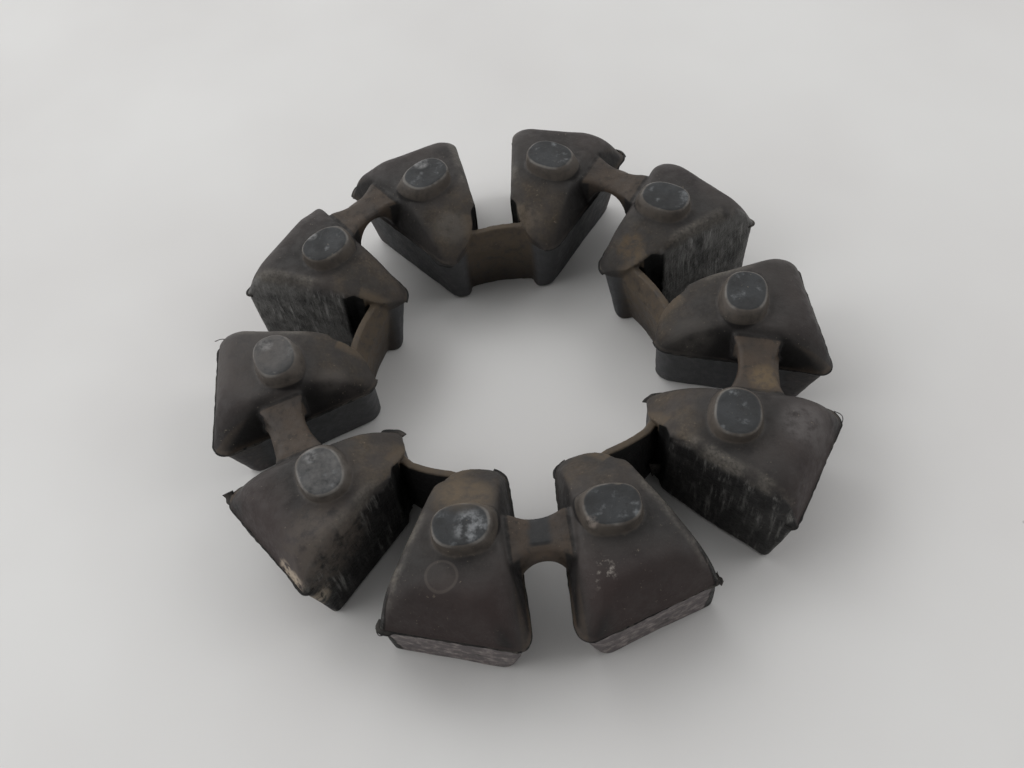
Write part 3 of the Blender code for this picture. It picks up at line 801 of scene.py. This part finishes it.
# The band under the parting line, dry and dusty on the outer faces
foot_tone = coat(hex_colour("#343132"), "#4c4647", front_of_ring)
foot_dust = coat(hex_colour("#514c4a"), "#8f8784", front_of_ring)
foot_tone = coat(foot_tone, foot_dust, (mottle, 0.42, 0.72))
foot_tone = coat(foot_tone, "#111010", (blotches, 0.42, 0.3, 0.0, 0.7))
colour = coat(colour, foot_tone, band, outer_face, 0.9)
colour = coat(colour, "#404143", band, (slanted, 70.0, 66.0), off_web, 0.8)

# The pockets' flanks, rubbed by the vanes, with scuffs and a painted sheen on those at the back of the ring,
# and painted shade in the reliefs behind the webs
flank_tone = coat(hex_colour("#151414"), "#282726", (blotches, 0.4, 0.7))
# Scuffs and a painted sheen: the flanks at the back of the ring, which face the front, are lighter
flank_tone = coat(flank_tone, "#5a5957", back_of_ring, (blotches, 0.3, 0.6, 0.25, 0.9))
rub_and_sheen_tone = coat(hex_colour("#6f6e6b"), "#838280", back_of_ring)
flank_tone = coat(flank_tone, rub_and_sheen_tone, (scratches, 0.48, 0.70), (patches, 0.42, 0.6, 0.12, 0.95))
colour = coat(colour, flank_tone, flank)
# Painted shade: the reliefs behind the webs, painted black
colour = coat(colour, "#060606", relief)

# The bosses' tops, smudged, with worn rims that carry a painted highlight
boss_tone = coat(hex_colour("#232425"), "#303234", (blotches, 0.35, 0.7))
boss_tone = coat(boss_tone, "#8d9194", (smudges, 0.56, 0.82), 0.5)
boss_tone = coat(boss_tone, "#171717", (mottle, 0.42, 0.3, 0.0, 0.5))
colour = coat(colour, boss_tone, boss_face)
# Wear and a painted highlight on the bosses' rims
colour = coat(colour, "#6d6b68", boss_rim, (blotches, 0.42, 0.62, 0.05, 0.65))

# Edges wear pale, and painted shade darkens the hollows
colour = coat(colour, "#756d62", edge, (mottle, 0.35, 0.65, 0.02, 0.4))
# Painted shade in the hollows
colour = coat(colour, "#151210", shaded_hollow, 0.7)

for point, reach, tone, low, high, share in SURFACE_MARKS:
    away = add(tree, "ShaderNodeVectorMath", {0: place, 1: Vector(point) * MM}, operation="DISTANCE")
    near = (away.outputs["Value"], reach * MM, MARK_CORE * reach * MM)
    colour = coat(colour, tone, near, (mottle, low, high), share)
# The mould's round mark: a pale line, and a paler face inside it
away = add(tree, "ShaderNodeVectorMath", {0: place, 1: Vector(MOULD_MARK) * MM},
           operation="DISTANCE").outputs["Value"]
mark_line = zone((away, 4.0 * MM, 3.75 * MM), (away, 3.2 * MM, 3.55 * MM))
mark_face = zone((away, 3.7 * MM, 3.3 * MM, 0.0, 0.3))
mark = add(tree, "ShaderNodeMath", {0: mark_line, 1: mark_face}, operation="ADD").outputs[0]
colour = coat(colour, "#5a534e", mark, 0.3)
colour = coat(colour, "#7d7365", (grain, 0.66, 0.74), (blotches, 0.45, 0.62), (rising, -0.2, 0.3), 0.5)
tree.links.new(colour, shader.inputs["Base Color"])

matt = zone((mottle, 0.3, 0.7, 0.54, 0.72))
matt = add(tree, "ShaderNodeMath", {0: zone(nose, lying), 1: DUST_ROUGHNESS, 2: matt},
           operation="MULTIPLY_ADD").outputs[0]
tree.links.new(matt, shader.inputs["Roughness"])
shader.inputs["Specular IOR Level"].default_value = RUBBER_SPECULAR

# The skin's fine height: each pattern, where it lies, and its depth in millimetres
scratched = add(tree, "ShaderNodeMath", {0: band, 1: 0.4, 2: flank}, operation="MULTIPLY_ADD").outputs[0]
height = 0.0
for parts in ((mottle, 0.11), (grain, 0.05), (scratches, scratched, 0.3), (ripples, flank, 0.8)):
    height = add(tree, "ShaderNodeMath", {0: zone(*parts), 1: height}, operation="ADD").outputs[0]
bump = add(tree, "ShaderNodeBump", {"Height": height, "Distance": MM, "Strength": 1.0})
tree.links.new(bump.outputs["Normal"], shader.inputs["Normal"])


# The parting flash
# Rubber that squeezed out between the mould's halves and was torn off, not trimmed. It is the same
# rubber, a thin ragged lip round every lug at the parting line, widest at the outer pocket corners.
FLASH_STEP = 0.35 * MM
FLASH_ROOT = 0.5 * MM
FLASH_THICKNESS = 0.28 * MM
FLASH_HEIGHT = PARTING_HEIGHT - 0.35 * LIP_DEPTH
FLASH_SEED = 11
# These widths and reaches are in millimetres, and so are the points of the tabs and hairs below
FLASH_WIDTHS = (0.05, 0.55)
FLASH_CORNER_WIDTH = 0.45
CORNER_REACHES = (7.0, 1.0)
CORNER_ON_FLANK = 2.5
# Where the flash is widest, as it is on this ring: the pair and side, how far along the lug's line from its
# nose, over what share of it, how wide, and how far its edge droops
WIDE_FLASH = ((4, 1.0, 0.02, 0.07, 1.1, 0.4), (1, -1.0, 0.02, 0.07, 0.8, 0.9),
              (2, 1.0, 0.58, 0.04, 0.9, 0.6), (0, 1.0, 0.05, 0.03, 0.5, 0.3),
              (3, -1.0, 0.05, 0.05, 0.6, 0.4), (0, -1.0, 0.98, 0.05, 0.7, 0.2))
# Flash that tore loose and curled, as it lies on this ring: where each tab's root starts and ends, and
# where its free edge starts and ends
TORN_TABS = (((64.4, 37.2, 18.6), (66.6, 35.0, 18.4), (67.4, 36.6, 14.8), (67.9, 34.9, 15.6)),
             ((-69.1, -28.2, 18.4), (-68.0, -31.0, 17.0), (-72.0, -28.6, 17.4), (-71.2, -30.0, 14.2)),
             ((34.8, -65.4, 17.8), (36.3, -67.0, 17.2), (35.8, -64.4, 19.6), (37.1, -65.9, 18.2)),
             ((37.2, 66.2, 18.6), (39.0, 64.8, 17.8), (38.6, 66.4, 16.4), (40.0, 65.3, 15.2)),
             ((28.2, -30.4, 8.0), (31.8, -31.0, 8.0), (29.0, -31.7, 3.2), (32.3, -31.4, 3.0)),
             ((-29.6, -28.0, 8.0), (-25.8, -27.6, 8.0), (-30.3, -28.8, 2.4), (-26.5, -26.9, 3.0)))
TAB_STEP = 0.3 * MM
TAB_THICKNESS = FLASH_THICKNESS * 1.3
# Fine hairs of rubber, by the points that each one passes
HAIRS = (((-69.1, 16.2, 18.6), (-71.6, 15.6, 19.4), (-73.8, 16.4, 19.2), (-75.7, 16.8, 18.0)),
         ((71.6, -29.0, 18.0), (72.5, -30.5, 19.0), (73.1, -31.1, 18.0), (73.0, -31.4, 16.0)),
         ((-33.8, -60.6, 17.6), (-35.0, -60.5, 19.0), (-34.9, -61.1, 17.2), (-35.9, -61.5, 16.0)),
         ((-34.8, -66.3, 17.4), (-36.4, -65.1, 17.2), (-37.7, -65.5, 15.2), (-37.4, -66.1, 13.2),
          (-36.2, -65.6, 12.4)))
HAIR_RADIUS = 0.11 * MM
HAIR_STEP = 0.5 * MM
HAIR_SIDES = 6

rng = np.random.default_rng(FLASH_SEED)


def ragged(count, spacing, size_mm):
    """Random values from 0 to 1 along a path, which change over about a size in millimetres."""
    knots = max(4, int(count * spacing / (size_mm * MM)))
    return np.interp(np.linspace(0.0, knots - 1.0, count), np.arange(knots), rng.random(knots))


def evenly(points, spacing):
    """A path through points, resampled at an even spacing."""
    points = np.array(points)
    steps = np.concatenate(([0.0], np.cumsum(np.linalg.norm(np.diff(points, axis=0), axis=1))))
    count = max(2, int(steps[-1] / spacing) + 1)
    at = np.linspace(0.0, steps[-1], count)
    return np.stack([np.interp(at, steps, points[:, column]) for column in range(points.shape[1])], axis=1)


def blade(mesh, roots, tips, thicknesses, along_edge):
    """Adds a thin closed skin from a line of roots to a ragged line of tips."""
    rings = []
    for root, tip, thickness in zip(roots, tips, thicknesses):
        middle = root + (tip - root) * 0.6
        lift = np.array(along_edge) * thickness / 2.0
        rings.append((root - lift, middle - lift * 0.8, tip - lift * 0.2,
                      tip + lift * 0.2, middle + lift * 0.8, root + lift))
    loft(mesh, rings)


# The path of the flash round one lug, where no flank or web has swallowed it
outline = [(p.x, p.y) for p in lug_outline(no_insets, POCKET_FLARE, PARTING_CORNERS)]
path = evenly(outline + outline[:1], FLASH_STEP)[:-1]
web_off = path @ np.array((-sin(web_turn), cos(web_turn)))
web_along = path @ np.array((cos(web_turn), sin(web_turn)))
crease = Matrix.Rotation(web_turn, 2) @ Vector((CREASE_RADIUS, -CREASE_HALF_WIDTH))
flank_line = facing_through(crease, WEB_ANGLE + 90.0 - POCKET_FLARE)
corner = np.array(crossing(facing(OUTER_FACE_TURN, OUTER_FACE_REACH), flank_line))
from_corner = np.linalg.norm(path - corner, axis=1) / MM
near_corner = smooth(from_corner, *CORNER_REACHES)
on_flank = np.abs(path @ np.array(flank_line[:2]) - flank_line[2]) < 0.3 * MM
runs, spreads = np.array(NOSE_ROUNDING).T
nose_edge = NOSE_HALF_SPACING + np.interp(web_along, CUT_START + runs, spreads)
free = (np.abs(web_off) > nose_edge - 0.2 * MM) | (web_along > CREASE_RADIUS + MM)
free &= ~on_flank | (from_corner < CORNER_ON_FLANK)
first_free = next(index for index in range(len(path)) if free[index] and not free[index - 1])
count = int(free.sum())
path = np.roll(path, -first_free, axis=0)[:count]
near_corner = np.roll(near_corner, -first_free)[:count]
tangent = np.gradient(path, axis=0)
normal = np.stack((tangent[:, 1], -tangent[:, 0]), axis=1) / np.linalg.norm(tangent, axis=1)[:, None]

flash = bmesh.new()
for pair in range(PAIR_COUNT):
    middle = radians(FIRST_PAIR_ANGLE + PAIR_STEP * pair)
    swing = np.array(((cos(middle), -sin(middle)), (sin(middle), cos(middle))))
    for mirror in (1.0, -1.0):
        width = FLASH_WIDTHS[0] + (FLASH_WIDTHS[1] - FLASH_WIDTHS[0]) * (
            0.6 * ragged(count, FLASH_STEP, 9.0) ** 2 + 0.4 * ragged(count, FLASH_STEP, 1.1))
        width += FLASH_CORNER_WIDTH * near_corner * ragged(count, FLASH_STEP, 1.6)
        droop = np.zeros(count)
        for its_pair, its_side, centre, half_share, extra, fall in WIDE_FLASH:
            if (its_pair, its_side) == (pair, mirror):
                share = smooth(np.abs(np.linspace(0.0, 1.0, count) - centre), half_share, half_share * 0.6)
                width += extra * share * (0.6 + 0.4 * ragged(count, FLASH_STEP, 0.9))
                droop += fall * share
        width = width * MM
        rise = (ragged(count, FLASH_STEP, 5.0) - 0.5) * 0.5 * width - droop * MM
        flip = np.array((1.0, mirror))
        roots = (path - normal * FLASH_ROOT) * flip @ swing.T
        tips = (path + normal * width[:, None]) * flip @ swing.T
        roots = np.hstack((roots, np.full((count, 1), FLASH_HEIGHT)))
        tips = np.hstack((tips, FLASH_HEIGHT + rise[:, None]))
        thicknesses = FLASH_THICKNESS * (0.7 + 0.6 * ragged(count, FLASH_STEP, 2.0))
        blade(flash, settled(roots), settled(tips), thicknesses, (0.0, 0.0, 1.0))
for root_start, root_end, tip_start, tip_end in np.array(TORN_TABS) * MM:
    length = max(np.linalg.norm(root_end - root_start), np.linalg.norm(tip_end - tip_start))
    count = max(6, int(length / TAB_STEP))
    share = np.linspace(0.0, 1.0, count)[:, None]
    roots = root_start + (root_end - root_start) * share
    tips = tip_start + (tip_end - tip_start) * share
    tips = roots + (tips - roots) * (0.55 + 0.5 * ragged(count, TAB_STEP, 0.9)[:, None])
    facing_out = np.cross(root_end - root_start, tip_start - root_start)
    blade(flash, roots, tips, [TAB_THICKNESS] * count, facing_out / np.linalg.norm(facing_out))
for points in HAIRS:
    path = evenly(np.array(points) * MM, HAIR_STEP)
    for _ in range(2):
        path[1:-1] = (path[:-2] + path[1:-1] * 2.0 + path[2:]) / 4.0
    rings = []
    for index, point in enumerate(path):
        ahead = Vector(path[min(index + 1, len(path) - 1)] - path[max(index - 1, 0)])
        turned = ahead.to_track_quat("Z", "Y")
        rings.append([Vector(point) + turned @ (HAIR_RADIUS * Vector((cos(a), sin(a), 0.0)))
                      for a in (2.0 * pi * side / HAIR_SIDES for side in range(HAIR_SIDES))])
    loft(flash, rings)
flash_piece = form("parting_flash", flash)
flash_piece.data.shade_smooth()

# Torn rubber is rougher than moulded rubber, and it keeps more dirt
torn, tree, shader = new_material("torn_rubber_flash")
place = add(tree, "ShaderNodeTexCoord").outputs["Object"]
specks, patches = [
    add(tree, "ShaderNodeTexNoise", {"Vector": place, "Scale": per(size), "Detail": detail,
                                     "Roughness": 0.55}).outputs["Fac"]
    for size, detail in ((1.2, 4.0), (9.0, 3.0))]
colour = coat(hex_colour("#141312"), "#3a3632", (patches, 0.45, 0.66))
colour = coat(colour, "#0e0d0d", (specks, 0.5, 0.38))
tree.links.new(colour, shader.inputs["Base Color"])
shader.inputs["Roughness"].default_value = 0.72
shader.inputs["Specular IOR Level"].default_value = RUBBER_SPECULAR
bump = add(tree, "ShaderNodeBump", {"Height": specks, "Distance": 0.1 * MM})
tree.links.new(bump.outputs["Normal"], shader.inputs["Normal"])
flash_piece.data.materials.append(torn)
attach(flash_piece, "root")
